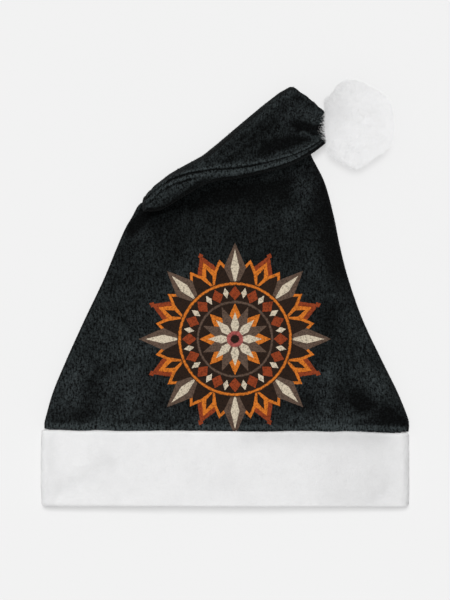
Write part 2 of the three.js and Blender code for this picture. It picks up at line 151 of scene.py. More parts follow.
def ease(value, low, high):
    """0 below low, 1 above high and an S curve between them."""
    t = np.clip((value - low) / (high - low), 0, 1)
    return t * t * (3 - 2 * t)


def through(knots, at):
    """A curve through the rows of knots at the row numbers at: Catmull-Rom, the cubic whose slope at a row
    is half the step between its neighbours."""
    knots = np.asarray(knots, float)
    padded = np.vstack([2 * knots[0] - knots[1], knots, 2 * knots[-1] - knots[-2]])
    i = np.clip(np.floor(at).astype(int), 0, len(knots) - 2)
    t = (at - i)[:, None]
    a, b, c, d = (padded[i + k] for k in range(4))
    return 0.5 * (2 * b + (c - a) * t + (2 * a - 5 * b + 4 * c - d) * t**2 + (3 * b - a - 3 * c + d) * t**3)


print("halfway through an S curve:", ease(0.5, 0, 1))

# %% [markdown]
# The fleece crown: its sections
#
# The crown is a cone of fleece with one seam. Laid flat it is two layers, front and back, that turn into
# each other in a soft roll at both sides. Its upper third is folded over to the right along a slanting
# line. A table of sections from the seam to the tip says all of this: for each, where a ruler laid across
# the hat meets its left and right edges, how much air is between the layers there, and how far each layer
# swells. A cloth simulation could drop the cone on a table, but it would find its own folds, and these have
# to lie where they do on this hat.

# %% The sections of the crown
# left x, left y, right x, right y, left air, right air, front swell, back swell, rise. X is a share of
# CROWN_WIDTH, Y of CROWN_HEIGHT from the seam, the others of AIR.
BODY = [
    (-0.4965, 0.004, 0.5045, 0.003, 0.35, 0.35, 0.95, 0, 0.2),
    (-0.497, 0.02, 0.5065, 0.018, 0.40, 0.40, 1.05, 0, 0),
    (-0.491, 0.045, 0.502, 0.045, 0.50, 0.50, 1.05, 0, 0),
    (-0.472, 0.115, 0.4745, 0.115, 0.50, 0.50, 1.00, 0, 0),
    (-0.436, 0.208, 0.4305, 0.208, 0.50, 0.50, 0.90, 0, 0),
    (-0.386, 0.325, 0.3785, 0.325, 0.50, 0.50, 0.80, 0, 0),
    (-0.334, 0.441, 0.340, 0.441, 0.45, 0.45, 0.65, 0, 0),
    (-0.2965, 0.537, 0.3165, 0.537, 0.45, 0.45, 0.45, 0, 0),
    (-0.2745, 0.590, 0.2985, 0.630, 0.45, 0.45, 0.25, 0, 0),
    (-0.2545, 0.627, 0.2735, 0.726, 0.45, 0.45, 0.15, 0, 0),
    (-0.241, 0.654, 0.236, 0.808, 0.45, 0.45, 0.15, 0, 0),
    (-0.229, 0.666, 0.216, 0.890, 0.45, 0.45, 0.15, 0, 0),
    (-0.2155, 0.669, 0.1965, 0.981, 0.45, 0.45, 0.10, 0, 0),
]
FLAP = [
    (-0.2230, 0.639, 0.207, 0.986, 0.70, 0.40, 0, 0.15, 0),
    (-0.178, 0.643, 0.218, 0.979, 0.75, 0.40, 0, 0.20, 0),
    (-0.124, 0.675, 0.225, 0.974, 0.70, 0.40, 0, 0.20, 0),
    (-0.047, 0.721, 0.231, 0.968, 0.60, 0.40, 0, 0.20, 0),
    (0.033, 0.7345, 0.238, 0.962, 0.55, 0.40, 0, 0.20, 0),
    (0.112, 0.7525, 0.246, 0.956, 0.55, 0.40, 0, 0.20, 0),
    (0.181, 0.774, 0.255, 0.945, 0.55, 0.40, 0, 0.20, 0.1),
    (0.2385, 0.8075, 0.266, 0.936, 0.50, 0.40, 0, 0.20, 0.3),
    (0.280, 0.841, 0.277, 0.924, 0.40, 0.35, 0, 0.15, 0.5),
    (0.300, 0.860, 0.297, 0.910, 0.20, 0.20, 0, 0, 0.7),
    (0.3125, 0.872, 0.311, 0.898, 0.10, 0.10, 0, 0, 0.8),
]
# The hem: how the crown is drawn in to pass down inside the cuff.
hem_half = (CUFF_WIDTH / 2 - CUFF_SWELL - CUFF_WALL - GAP) / CROWN_WIDTH
hem_air = (CUFF_SIDE - 2 * (CUFF_WALL + GAP) - 2 * FLEECE) / AIR
hem_row = [hem_air, hem_air, CUFF_ARCH / AIR, 0, (CUFF_WALL + GAP) / AIR]
HEM_ROWS = [
    [-hem_half, -HEM / CROWN_HEIGHT, hem_half, -HEM / CROWN_HEIGHT, *hem_row],
    [-hem_half, 0.3 * MM / CROWN_HEIGHT, hem_half, 0.3 * MM / CROWN_HEIGHT, *hem_row],
]
print(len(BODY) + len(FLAP) + len(HEM_ROWS), "sections")

# %% [markdown]
# Rows between the sections
#
# Smooth curves run through the sections. Where the cloth rolls over the fold, the section stays in place
# and turns through half a circle, so those rows have a turn of their own.

# %% The rows of the crown
BODY_ROWS, ROLL_ROWS, FLAP_ROWS = 110, 80, 84
straight = np.vstack([HEM_ROWS, BODY[0], BODY[1]])
hem_part = np.vstack([
    straight[k] + (straight[k + 1] - straight[k]) * np.linspace(0, 1, count, endpoint=False)[:, None]
    for k, count in enumerate((4, 5, 4))
])
body_part = through(BODY[1:], np.linspace(0, len(BODY) - 2, BODY_ROWS))
roll_t = np.linspace(0, 1, ROLL_ROWS + 2)[1:-1, None]
roll_part = np.asarray(BODY[-1]) * (1 - roll_t) + np.asarray(FLAP[0]) * roll_t
flap_part = through(FLAP, np.linspace(0, len(FLAP) - 1, FLAP_ROWS))
rows = np.vstack([hem_part, body_part, roll_part, flap_part])
turns = np.concatenate([
    np.zeros(len(hem_part) + len(body_part)),
    np.pi * roll_t[:, 0],
    np.full(len(flap_part), np.pi),
])
print("rows:", len(rows))

# %% [markdown]
# Where the seam runs
#
# The crown is sewn up with one seam, turned in and stitched down on both sides. It lies hidden on the back
# of the body, a little in from its left edge. At the fold the back comes up over the roll, and the seam
# with it: it slants along the roll, and then follows the flap's lower edge. So its distance from the left
# edge is a short table too.

# %% The seam's distance from the left edge
def edge(row, side):
    """The left (0) or right (2) edge of sections in plan."""
    return np.stack([row[..., side] * CROWN_WIDTH, SEAM_Y + row[..., side + 1] * CROWN_HEIGHT], axis=-1)


SEAM_ON_BODY = 12
# turn in degrees and distance in millimetres, through the roll
SEAM_ON_ROLL = np.array([
    (0, 12), (60, 6), (100, 5), (132, 5), (140, 9),
    (145, 26.9), (150, 32.4), (160, 40.3), (170, 46.5), (180, 50.6),
])
# distance in millimetres at each section of the flap
SEAM_ON_FLAP = np.array([50.6, 50.3, 37.1, 16.7, 13.1, 10.8, 8.7, 5.8, 4.6, 3.8, 2.8])
widths = np.linalg.norm(edge(rows, 2) - edge(rows, 0), axis=-1)
left_roll = FLEECE + rows[:, 4] * AIR / 2
flat_run = widths - left_roll - FLEECE - rows[:, 5] * AIR / 2
seam_at = MM * np.concatenate([
    np.full(len(hem_part) + len(body_part), SEAM_ON_BODY),
    np.interp(np.degrees(np.pi * roll_t[:, 0]), *SEAM_ON_ROLL.T),
    through(SEAM_ON_FLAP[:, None], np.linspace(0, len(FLAP) - 1, FLAP_ROWS))[:, 0],
])
print("the seam's distance from the edge, at most: %.0f mm" % (seam_at.max() / MM))

# %% [markdown]
# One ring round the crown
#
# Each ring runs along the back layer, up the right roll, back along the front layer and down the left roll.
# On the back layer many points crowd into a narrow band that follows the seam, because its stitches are
# small.

# %% The ring's points, as shares across
def flat_ring(back, side, front):
    """A ring round a flat tube: across below, up the right side, back across above and down the left side.
    Each side is a half circle, whose sine says how far out a point is and whose cosine how far down. Returns
    those, out and up, and after the points below also the share across."""
    angle = np.linspace(0, np.pi, side + 2)[1:-1]
    out = np.concatenate([np.zeros(back), np.sin(angle), np.zeros(front), -np.sin(angle)])
    up = np.concatenate([np.full(back, -1.0), -np.cos(angle), np.ones(front), np.cos(angle)])
    share = np.concatenate([np.ones(side), np.linspace(1, 0, front), np.zeros(side)])
    return out, up, share


LEFT_POINTS, SEAM_POINTS, RIGHT_POINTS, FRONT_POINTS, ROLL_POINTS = 22, 36, 52, 120, 11
NEAREST_SEAM = 0.25 * MM
BACK_POINTS = LEFT_POINTS + SEAM_POINTS + RIGHT_POINTS
SEAM_COLUMN = LEFT_POINTS + SEAM_POINTS // 2
seam_in = np.maximum(seam_at - left_roll, NEAREST_SEAM)
SEAM_BAND = 4.5 * MM
band = np.minimum(SEAM_BAND, 0.8 * seam_in) / flat_run
back_knots = [0, LEFT_POINTS, LEFT_POINTS + SEAM_POINTS, BACK_POINTS - 1]
seam_share = seam_in / flat_run
knot_shares = np.stack([0 * band, seam_share - band, seam_share + band, 1 + 0 * band], axis=-1)
column = np.arange(BACK_POINTS)
part = np.clip(np.searchsorted(back_knots, column, side="right") - 1, 0, 2)
part_start = np.array(back_knots)[part]
part_length = np.diff(back_knots)[part]
part_share = knot_shares[:, part + 1] - knot_shares[:, part]
back_share = knot_shares[:, part] + part_share * (column - part_start) / part_length
bulge, climb, beside = flat_ring(BACK_POINTS, ROLL_POINTS, FRONT_POINTS)
across_share = np.hstack([back_share, np.broadcast_to(beside, (len(rows), beside.size))])
on_back = (np.arange(climb.size) < BACK_POINTS).astype(float)
on_front = (climb == 1).astype(float)
print("points in a ring:", climb.size)

# %% [markdown]
# Dents, creases and the fold
#
# Fleece keeps soft dents where it was pressed and long shallow waves where it is gathered to the cuff. A
# dent is a line with a width and a depth, and the cloth sinks towards it like a hollow in sand. The fold
# rolls the cloth round a line, and stands out less at its left end, where the cloth is pinched.

# %% Dents
# from x, from y, to x, to y, width, depth, all in millimetres: a negative depth is a swelling
FRONT_DENTS = np.array([
    (-72, 56, -44, 68, 11, 2.2),
    (-46, 66, 4, 74, 15, 2.2),
    (0, 74, 50, 80, 18, 1.8),
    (-96, -66, -98, -104, 9, 0.6),
    (-114, -68, -118, -92, 9, -1.8),
    (-58, -52, -52, -104, 17, -1.6),
    (64, 76, 88, -2, 14, -3.4),
    (96, -72, 140, -88, 11, -1.6),
    (58, -92, 96, -110, 10, 1.2),
    (-60, -106, -52, -92, 6, 0.7),
    (-20, -106, -22, -90, 7, 0.6),
    (38, -106, 36, -90, 7, 0.7),
]) * MM
FLAP_DENTS = np.array([
    (34, 112, 73, 122.5, 6.5, 1.8),
    (62, 130.5, 77, 126.5, 3.2, 1.6),
    (56, 141, 74, 137, 6, -2.2),
    (-10, 112, 30, 126, 12, 1.2),
    (-40, 96, -10, 118, 9, -0.8),
    (60, 157, 70, 152, 5, 1.4),
]) * MM


def pressed(dents, x, y):
    """How deep a dented cloth is pressed at x, y: for each dent, depth times e to the minus square of the
    distance from its line over its width, all added up. Strokes of painted light and shade add up in the
    same way."""
    x = x[..., None]
    y = y[..., None]
    ax, ay, bx, by, width, depth = dents.T
    length = (bx - ax) ** 2 + (by - ay) ** 2
    t = np.clip(((x - ax) * (bx - ax) + (y - ay) * (by - ay)) / length, 0, 1)
    far = np.hypot(x - ax - t * (bx - ax), y - ay - t * (by - ay))
    return (depth * hump(far, 0, width)).sum(axis=-1)


print("dents:", len(FRONT_DENTS), "in front and", len(FLAP_DENTS), "on the flap")

# %% Strokes of painted light and shade
# from x, from y, to x, to y, width, all in millimetres, and how much painted light the stroke puts on: below 0
# painted shade
STROKE_UNITS = [MM, MM, MM, MM, MM, 1]
BODY_PAINTED_LIGHT = np.array([
    (81, 79, 96, 20, 6, -0.5),
    (92, -8, 110, -37, 10, 0.4),
    (118, -65, 122, -78, 8, 0.4),
    (96, -65, 110, -89, 7, -0.45),
    (110, -89, 142, -103, 7, -0.45),
    (-125, -70, -123, -84, 8, 0.35),
    (-140, -103, -104, -103, 5, 0.3),
    (-98, -103, 96, -103, 7, 0.75),
    (50, 60, 66, 32, 8, 0.25),
    (90, -4, 97, -20, 7, 0.4),
    (84, -97, 110, -101, 8, 0.5),
    (78, -66, 80, -95, 8, 0.4),
    (-113, -70, -113, -82, 6, 0.3),
    (-101, -88, -103, -95, 5, -0.15),
    (58, 98, 68, 80, 9, 0.3),
    (-144, -107.5, 144, -107.5, 4, 0.7),
    (-77, -42, -75, -84, 9, 0.4),
    (-110, -60, -68, -53, 2.6, -0.3),
]) * STROKE_UNITS
FLAP_PAINTED_LIGHT = np.array([
    (0, 116, 46, 152, 16, -0.22),
    (34, 117, 66, 123, 6, -0.2),
    (-14, 108, 14, 123, 8, -0.25),
    (-56, 71, -32, 84, 8, -0.15),
    (60, 119, 74, 126, 5, 0.3),
    (-56, 71, -50, 75, 4, -0.25),
]) * STROKE_UNITS
# x, and how far below the flap the painted shade begins and ends to fade out again, in millimetres
SHADE_BELOW_FLAP = np.array([
    (-65, 8, 24), (-37, 19, 43), (-17, 27, 56), (5, 30, 56), (20, 25, 48), (45, 24, 46),
]) * MM


def painted_light_at(strokes, places):
    """How much painted light, or below 0 painted shade, the strokes put on the pile at places."""
    return pressed(strokes, places[..., 0], places[..., 1])


print("strokes:", len(BODY_PAINTED_LIGHT), "on the body and", len(FLAP_PAINTED_LIGHT), "on the flap")

# %% The fold's line
# share across the fold from its left end, and how far the cloth stands out there, as a share of a half
# circle
FOLD_REACH = np.array([
    (0, 0.50), (0.036, 0.66), (0.1, 0.957), (0.2, 0.96), (0.316, 0.735), (0.4, 0.565),
    (0.5, 0.64), (0.6, 0.765), (0.8, 0.985), (0.92, 1.05), (1, 0.92),
])

FLAP_EDGE = edge(np.asarray(FLAP), 0)
fold_row = np.asarray(BODY[-1])
fold_line = unit(edge(fold_row, 2) - edge(fold_row, 0))
fold_out = np.array([-fold_line[1], fold_line[0]])
fold_thick = 2 * FLEECE + fold_row[4] * AIR
fold_height = fold_thick + FOLD_CLEARANCE / 2
print("the fold runs along", fold_line.round(3), "at a height of %.1f mm" % (fold_height / MM))

# %% [markdown]
# The crown's surface
#
# Two skins make the crown: the outer one, closed at the tip, and an inner one a cloth's thickness inside
# it. Both come from the same function, so that the cloth is equally thick everywhere. The seam is a low
# ridge between two grooves of stitches, and shows only where the back layer faces up.

# %% A function for the crown's skins
# how far from the seam and from both sides the dents reach their full depth
SEAM_CLEAR = 14 * MM
SIDE_CLEAR = 16 * MM
GATHERS_LENGTH = 34 * MM
DENT_SHARE = 1.4
FLAP_DENT_SHARE = 1.3


def crown_skin(rows, turns, across_share, inset, ribs=0):
    """Points of the crown. A section is a flat ring: across runs from the left edge to the right edge,
    height from the back layer up. Its sides are half circles. The swell is a half sine across. Rolled rows
    turn about the fold's line: out by the arm times the sine of the turn, up by the fold's height less the
    arm times the cosine. ribs is how far the seam's stitches press the skin in."""
    left, right = edge(rows, 0), edge(rows, 2)
    width = np.linalg.norm(right - left, axis=-1)[:, None]
    left_air, right_air, front, back, rise = rows[:, 4:].T[:, :, None]
    left_thick, right_thick = 2 * FLEECE + left_air * AIR, 2 * FLEECE + right_air * AIR
    run = width - (left_thick + right_thick) / 2
    roll = np.where(across_share < 0.5, left_thick / 2, right_thick / 2)
    across = left_thick / 2 + run * across_share + (roll - inset) * bulge
    thick_here = left_thick + (right_thick - left_thick) * across / width
    middle = np.where((on_back + on_front) > 0, thick_here / 2, roll)
    reach = np.where((on_back + on_front) > 0, thick_here / 2 - inset, roll - inset)
    arch = np.sin(np.pi * across_share)
    height = middle + reach * climb + AIR * arch * (front * on_front - back * on_back)
    place = left[:, None] + (right - left)[:, None] * (across / width)[..., None]
    x, y = place[..., 0], place[..., 1]
    turned = (turns / np.pi)[:, None]
    # what happens to the front layer of the body
    above_seam = ease(y - SEAM_Y, 0, SEAM_CLEAR)
    inside_edges = np.minimum(ease(across, 0, SIDE_CLEAR), ease(width - across, 0, SIDE_CLEAR))
    flap_edge = np.interp(x, FLAP_EDGE[:, 0], FLAP_EDGE[:, 1])
    covered = ease(y - flap_edge, -7 * MM, 1 * MM)
    waves = 0.9 * MM * soft_waves(x, y * 0.6, 62 * MM, 3) + 0.35 * MM * soft_waves(x, y, 24 * MM, 4)
    fading = np.exp(-(y - SEAM_Y).clip(0) / GATHERS_LENGTH)
    gathers = 0.55 * MM * soft_waves(x, y * 0.15, 21 * MM, 5) * fading
    bend = waves + gathers - DENT_SHARE * pressed(FRONT_DENTS, x, y)
    bend = bend * (1 - covered) + np.minimum(bend, 0) * covered
    height = height + on_front * (1 - ease(turned, 0, 0.3)) * above_seam * inside_edges * bend
    # and to the back layer where it faces up
    shown = ease(turned, 0.35, 0.75) * on_back
    flap_waves = 0.35 * MM * soft_waves(x, y, 30 * MM, 6)
    height = height + shown * inside_edges * (FLAP_DENT_SHARE * pressed(FLAP_DENTS, x, y) - flap_waves)
    height = height + ribs
    level = height + turned * (fold_thick - thick_here)
    arm = fold_height - level
    out = arm * np.interp(across / width, *FOLD_REACH.T) * np.sin(turns)[:, None]
    x = x + out * fold_out[0]
    y = y + out * fold_out[1]
    z = np.where(turned > 0, fold_height - arm * np.cos(turns)[:, None], level) + rise * AIR
    return np.stack([x, y, z], axis=-1)


bare = crown_skin(rows, turns, across_share, 0)
print("outer skin:", bare.shape, "lowest point %.2f mm" % (bare[..., 2].min() / MM))

# %% [markdown]
# The seam's stitches
#
# The seam crosses the rows at a slant, so a groove of even width can't be drawn by the row alone. Instead
# each point near it is measured to the nearest point of the seam's line in space, and a profile over that
# distance presses the skin: a groove where the stitches pull, with a second one beside it near the fold.
# From the seam to the flap's lower edge the skin stands higher, because the cloth that is turned in lies
# under it.

# %% How far each point is from the seam
start = len(hem_part) + len(body_part)
seam_line = bare[start:, SEAM_COLUMN]
seam_fine = through(seam_line, np.linspace(0, len(seam_line) - 1, 3 * len(seam_line)))
near = bare[start:, :BACK_POINTS]
away = np.sqrt(((near[:, :, None] - seam_fine) ** 2).sum(axis=-1).min(axis=-1))
below_seam = np.where(np.arange(BACK_POINTS) < SEAM_COLUMN, away, -away) / MM
two_lines = ease(near[..., 0], -8 * MM, -26 * MM)
NARROW_TIP = 30 * MM
shown = ease(turns[start:, None], 0.3 * np.pi, 0.5 * np.pi) * np.minimum(1, widths[start:, None] / NARROW_TIP)
print("the nearest point is %.2f mm from the seam" % abs(below_seam).min())

# %% Press the seam into the outer skin, with painted highlights beside it
# middles and widths in millimetres below the seam
groove = hump(below_seam, 0, 0.75) + 0.7 * two_lines * hump(below_seam, 4.8, 0.9)
turned_in = 1.7 * ease(below_seam, -5.5, -1.5) + 1.0 * ease(below_seam, 0.5, 4.5)
stitched, seam_highlight, ribs = np.zeros((3, *bare.shape[:2]))
stitched[start:, :BACK_POINTS] = shown * groove * (0.35 + 0.65 * two_lines)
# painted highlights on the ridges beside the seam, added to the crown's painted light and shade
seam_highlight[start:, :BACK_POINTS] = shown * (
    (1.25 - 0.35 * two_lines) * hump(below_seam, -1.9, 1.3)
    + 1.5 * hump(below_seam, 4.2 - 1.8 * two_lines, 2.8 - 1.3 * two_lines)
    + 0.7 * two_lines * hump(below_seam, 8, 2.5))
ribs[start:, :BACK_POINTS] = shown * MM * ((0.7 + 0.3 * two_lines) * groove - turned_in)
left_side = slice(climb.size - ROLL_POINTS, climb.size)
ribs[start:, left_side] = -shown * MM * turned_in[:, :1] * (1 - climb[left_side]) / 2
outer = crown_skin(rows, turns, across_share, 0, ribs)
print("deepest stitch: %.1f mm" % (ribs.max() / MM))

# %% [markdown]
# Closing the crown
#
# The inner skin needs fewer rows, for it is seen only through the mouth. A strip at the hem joins the two
# skins, and each is closed at its end with one last point.

# %% How the lower end settles
SETTLES_BELOW = SEAM_Y + 60 * MM
DROOPS = (90 * MM, 146 * MM)


def settle(points):
    """The seam sits a little lower at its right: it leans by a share of X and droops at its end. Towards
    the cuff's foot that gives way to a bow, with both corners lower by the square of X over half the
    width."""
    x, y = points[..., 0], points[..., 1]
    low = 1 - ease(y, SEAM_Y, SETTLES_BELOW)
    foot = 1 - ease(y, SEAM_Y - CUFF_HEIGHT, SEAM_Y)
    lean = 0.004 * x + 1.0 * MM * ease(x, *DROOPS) - 0.4 * MM
    bow = 0.7 * MM * (2 * x / CUFF_WIDTH) ** 2 - 0.2 * MM
    points[..., 1] -= low * (lean * (1 - foot) + bow * foot)
    return points


# %% The crown as one closed mesh
NARROWEST_HOLLOW = 16 * MM
HEM_RINGS = len(hem_part) + 1
hollow = np.flatnonzero(widths > NARROWEST_HOLLOW)
kept = np.unique(np.concatenate([hollow[:HEM_RINGS], hollow[HEM_RINGS::5], hollow[-1:]]))
inner = crown_skin(rows[kept], turns[kept], across_share[kept], FLEECE)
ring = outer.shape[1]
outer = settle(outer)
inner = settle(inner)
tip_end = outer[-1].mean(axis=0) + 0.4 * (outer[-1].mean(axis=0) - outer[-2].mean(axis=0))
inner_end = inner[-1].mean(axis=0)
points = np.vstack([outer.reshape(-1, 3), inner.reshape(-1, 3), tip_end[None], inner_end[None]])
first = np.arange(ring)
inner_start = outer.shape[0] * ring
last_outer = inner_start - ring + first
last_inner = inner_start + (inner.shape[0] - 1) * ring + first
faces = ring_faces(outer.shape[0], ring).tolist()
faces += ring_faces(inner.shape[0], ring, inner_start)[:, ::-1].tolist()
following = np.roll(first, -1)
faces += np.stack([first, following, inner_start + following, inner_start + first], axis=-1).tolist()
tip_point = len(points) - 2
faces += np.stack([last_outer, np.full(ring, tip_point), np.roll(last_outer, -1)], axis=-1).tolist()
faces += np.stack([last_inner, np.roll(last_inner, -1), np.full(ring, tip_point + 1)], axis=-1).tolist()
crown = make_mesh("crown_fleece", points, faces)

# %% Painted light and shade on the crown's pile
# the side the painted light comes from, then stretches along X and Y, or below the flap's edge, where
# something sets in
PAINTED_LIGHT_X, PAINTED_LIGHT_Y = -0.42, 0.9
DARKER_TOWARDS_TIP = (-70 * MM, 70 * MM)
TOWARDS_RIGHT = (45 * MM, 78 * MM)
TOWARDS_LEFT = (10 * MM, 55 * MM)
FLAP_SHADE = (2 * MM, 14 * MM)
SHADE_FROM_LEFT = (-75 * MM, -15 * MM)


def paint(piece, name, values):
    """Gives every point of a piece a number that its material can read by name."""
    layer = piece.data.attributes.new(name, "FLOAT", "POINT")
    filled = np.zeros(len(piece.data.vertices), np.float32)
    filled[:values.size] = values.reshape(-1)
    layer.data.foreach_set("value", filled)


def painted_light_of(grid, body):
    """Painted light and shade on the pile, from -1 to 1: the cloth's outward direction, taken between the
    neighbouring rows and columns, times the direction the painted light comes from. Where the cloth turns down
    at its edges it is painted darker, towards the tip the body is painted darker, and below the flap's edge it
    gets painted shade, with painted light in the flap's shadow close to the edge. The strokes of painted light
    and shade are added last. body is 1 on the body and 0 on the flap."""
    along = np.gradient(grid, axis=0)
    across = (np.roll(grid, -1, axis=1) - np.roll(grid, 1, axis=1)) / 2
    outward = unit(np.cross(along, across))
    slope = PAINTED_LIGHT_X * outward[..., 0] + PAINTED_LIGHT_Y * outward[..., 1]
    level = ease(outward[..., 2], 0.6, 0.95)
    x, y = grid[..., 0], grid[..., 1]
    less = ease(y, *DARKER_TOWARDS_TIP)
    below_flap = np.interp(x, FLAP_EDGE[:, 0], FLAP_EDGE[:, 1]) - y
    starts, ends = (np.interp(x, SHADE_BELOW_FLAP[:, 0], SHADE_BELOW_FLAP[:, k]) for k in (1, 2))
    # painted shade a little below the flap's edge, and painted light in the flap's shadow just below it
    shade_below_flap = ease(below_flap, 0, 12 * MM) * (1 - ease(below_flap, starts, ends))
    shade_below_flap = shade_below_flap * (1 - 0.8 * ease(x, *TOWARDS_RIGHT)) * (0.5 + 0.3 * ease(-x, *TOWARDS_LEFT))
    light_in_shade = 0.9 * (1 - ease(below_flap, *FLAP_SHADE)) * ease(x, *SHADE_FROM_LEFT)
    # painted light and shade on the body: darker towards the tip and below the flap, lighter in the flap's
    # shadow, and the strokes
    on_body = 0.25 - 0.45 * less - shade_below_flap + light_in_shade + painted_light_at(BODY_PAINTED_LIGHT, grid)
    on_flap = painted_light_at(FLAP_PAINTED_LIGHT, grid)
    # painted light where the cloth faces the side the light comes from, painted shade where it turns down at
    # its edges
    shade = np.tanh(slope * 3.2) * level - (0.15 + 0.35 * body) * (1 - level) - 0.1
    return shade + body * on_body + (1 - body) * on_flap


# the crown's painted light and shade, with the painted highlights beside the seam, for the fleece to read
painted_light_and_tone = painted_light_of(outer, 1 - ease(turns[:, None], 0, np.pi)) + seam_highlight
paint(crown, "painted_light_and_tone", painted_light_and_tone)
print("nap from %.1f to %.1f" % (painted_light_and_tone.min(), painted_light_and_tone.max()))

# %% Where the crown takes the print and the stitches
faces_up = np.broadcast_to(on_front * (turns < 0.05)[:, None], outer.shape[:2])
paint(crown, "printable", faces_up)
paint(crown, "stitched", stitched)
corner = np.linalg.norm(np.cross(outer[1:, :-1] - outer[:-1, :-1], outer[:-1, 1:] - outer[:-1, :-1]), axis=-1)
crown_area = corner.sum()
print("fleece in the crown: %.0f square centimetres" % (crown_area * 1e4))

# %% [markdown]
# The plush cuff
#
# The cuff is a band of plush, wide enough to stand away from the fleece, with its edges turned in. Laid
# flat it is a flattened tube, round at its sides and a little arched in front where the mouth stays open.
# Its wall is a profile: up the outside, over a round rim, down the inside and over the other rim. That
# profile is carried round the tube.

# %% Dents of the cuff, and its painted light and shade
# columns as for the crown's dents and its strokes of painted light and shade
CUFF_DENTS = np.array([
    (-139, -160, -88, -135, 7, 1.5),
    (-139, -163, -120, -154, 5, 0.8),
    (122, -162, 140, -152, 6, 1.3),
    (-15, -125, 9, -113, 12, 0.6),
    (59, -140, 82, -113, 12, 0.6),
    (-100, -128, -60, -122, 14, 0.4),
]) * MM
# painted light and shade: darker on the right, below the crown's hem on the right, at the left edge, in a few
# soft patches and in a thin line along the foot; lighter at the right edge and a little at the left
CUFF_PAINTED_LIGHT = np.array([
    (128, -116, 128, -172, 45, -0.28),
    (144, -112, 144, -172, 8, 0.24),
    (-141, -118, -141, -168, 6, -0.22),
    (-122, -120, -122, -165, 12, 0.08),
    (20, -112, 122, -112, 9, -0.45),
    (88, -126, 88, -162, 14, -0.1),
    (-125, -156, -92, -138, 9, -0.2),
    (0, -150, 0, -140, 12, -0.12),
    (-147, -169.5, 146, -171.2, 1.5, -0.75),
]) * STROKE_UNITS
print("dents:", len(CUFF_DENTS), "and strokes:", len(CUFF_PAINTED_LIGHT))

# %% The cuff as one closed mesh
FACE_ROWS, RIM_ROWS, LINING_ROWS = 60, 9, 20
BACK, SIDE, FRONT = 70, 13, 190
FOOT_RISE = 1.4 * MM


def cuff_surface():
    """Points of the cuff: rows go round the wall's profile, columns round the tube. A column's share runs
    across the back and again across the front, and the sides are half circles as wide as the tube is thick
    there."""
    rim = CUFF_WALL / 2
    low = SEAM_Y - CUFF_HEIGHT + FOOT_RISE
    turn = np.linspace(0, np.pi, RIM_ROWS + 1)[:-1]
    y = np.concatenate([
        np.linspace(low + rim, SEAM_Y - rim, FACE_ROWS, endpoint=False),
        SEAM_Y - rim + rim * np.sin(turn),
        np.linspace(SEAM_Y - rim, low + rim, LINING_ROWS, endpoint=False),
        low + rim - rim * np.sin(turn),
    ])[:, None]
    inset = np.concatenate([
        np.zeros(FACE_ROWS), rim - rim * np.cos(turn),
        np.full(LINING_ROWS, CUFF_WALL), rim + rim * np.cos(turn),
    ])[:, None]
    out, up, beside = flat_ring(BACK, SIDE, FRONT)
    share = np.concatenate([np.linspace(0, 1, BACK), beside])
    front = up == 1
    slim = CUFF_SWELL * (1 - np.sin(np.pi * (y - low) / CUFF_HEIGHT))
    left_half, right_half = CUFF_WIDTH / 2 - 0.5 * slim, CUFF_WIDTH / 2 - 0.1 * slim
    radius = CUFF_SIDE / 2
    x = radius + (left_half + right_half - CUFF_SIDE) * share + (radius - inset) * out - left_half
    y = np.broadcast_to(y, x.shape)
    height = radius + (radius - inset) * up + front * CUFF_ARCH * np.sin(np.pi * share)
    outside = 1 - inset / CUFF_WALL
    dents = pressed(CUFF_DENTS, x, y)
    waves = 0.6 * MM * soft_waves(x, y * 0.8, 42 * MM, 11) + 0.06 * MM * soft_waves(x, y, 9 * MM, 12)
    height = height + outside * front * ease(np.sin(np.pi * share), 0, 0.12) * (waves - dents)
    wavy = (0.12 + 0.23 * ease(y, low, SEAM_Y)) * MM * soft_waves(x, 0 * x, 34 * MM, 13)
    return np.stack([x, y + wavy, height], axis=-1)


cuff_grid = settle(cuff_surface())
cuff = make_mesh("cuff_plush", cuff_grid, ring_faces(*cuff_grid.shape[:2], closed=True).tolist())

# %% [markdown]
# The pompom
#
# A pompom is a ball of cut yarn or plush round a knot. Up close it is nothing but ends. Here a lumpy ball
# stands for the dense inside, and tens of thousands of thin fibres grow out of it. It lies on the table, so
# it is flat below, and from above it is longer than wide, because the fold drags it.

# %% Sizes of the pompom, and its painted shade
POMPOM_HEIGHT = 50 * MM
POMPOM_MIDDLE = np.array([105.6, 135.0, 25.0]) * MM
# direction in degrees from +X, and how far out the pile reaches in plan, in millimetres
POMPOM_REACH = np.array([
    (0, 29.3), (16, 29), (33, 31.6), (48, 31.6), (66, 31.2), (81, 32.8), (96, 36.2), (107, 37), (119, 35),
    (130, 31.6), (141, 33.2), (150, 32), (158, 28), (180, 26.5), (205, 28.3), (219, 32.4), (233, 32.7),
    (246, 33.0), (260, 34.7), (270, 36.2), (281, 32.6), (299, 29.8), (317, 30.5), (331, 30.8), (346, 29.6),
])
# how far out the ball, the fibres' roots and the wisps' roots lie, as shares of that
BALL_SHARE, ROOT_SHARE, WISP_ROOT_SHARE = 0.885, 0.86, 0.93
OFF_TABLE = 0.3 * MM
# painted shade on the pompom's upper left, next to the fleece
POMPOM_PAINTED_SHADE = np.array([
    (78, 150, 78, 124, 6, -0.7),
    (87, 158, 89, 144, 12, -0.4),
]) * STROKE_UNITS
print("points of the outline:", len(POMPOM_REACH))


